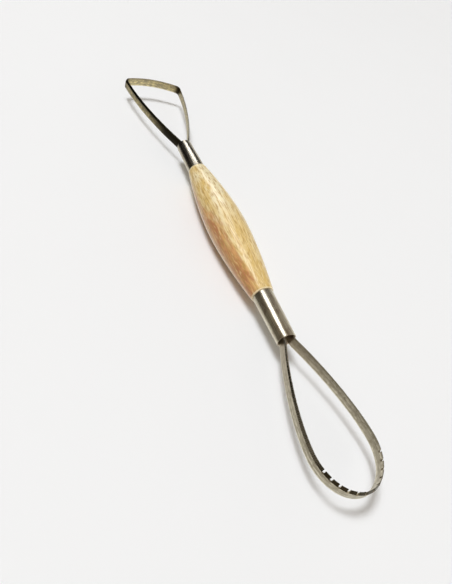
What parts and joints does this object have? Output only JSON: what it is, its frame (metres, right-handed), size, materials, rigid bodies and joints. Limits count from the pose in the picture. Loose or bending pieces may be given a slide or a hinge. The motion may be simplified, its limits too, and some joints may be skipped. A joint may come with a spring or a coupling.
{
  "type": "double-ended loop tool",
  "caption": "Clay trimming tool: a turned wooden handle with a toothed teardrop ribbon loop at one end and a plain triangular ribbon loop at the other.",
  "frame": {"origin": "centre of the whole tool's box, which lies on the handle's axis", "axes": "+X along the tool towards the teardrop loop, Y across the loops' flat plane, +Z out of that plane on the side of the loops' sharpened edges"},
  "size_m": [0.2768, 0.0382, 0.0196],
  "materials": {
    "handle_wood": "clear gloss varnish over pale, fine-grained hardwood",
    "ferrule_steel": "polished nickel-plated tube",
    "ribbon_steel": "satin spring-steel strip with a ground bevel"
  },
  "bodies": {
    "root": {"handle": "handle_wood", "ferrule_round_end": "ferrule_steel", "ferrule_triangle_end": "ferrule_steel", "loop_round": "ribbon_steel", "loop_triangle": "ribbon_steel"}
  },
  "joints": []
}
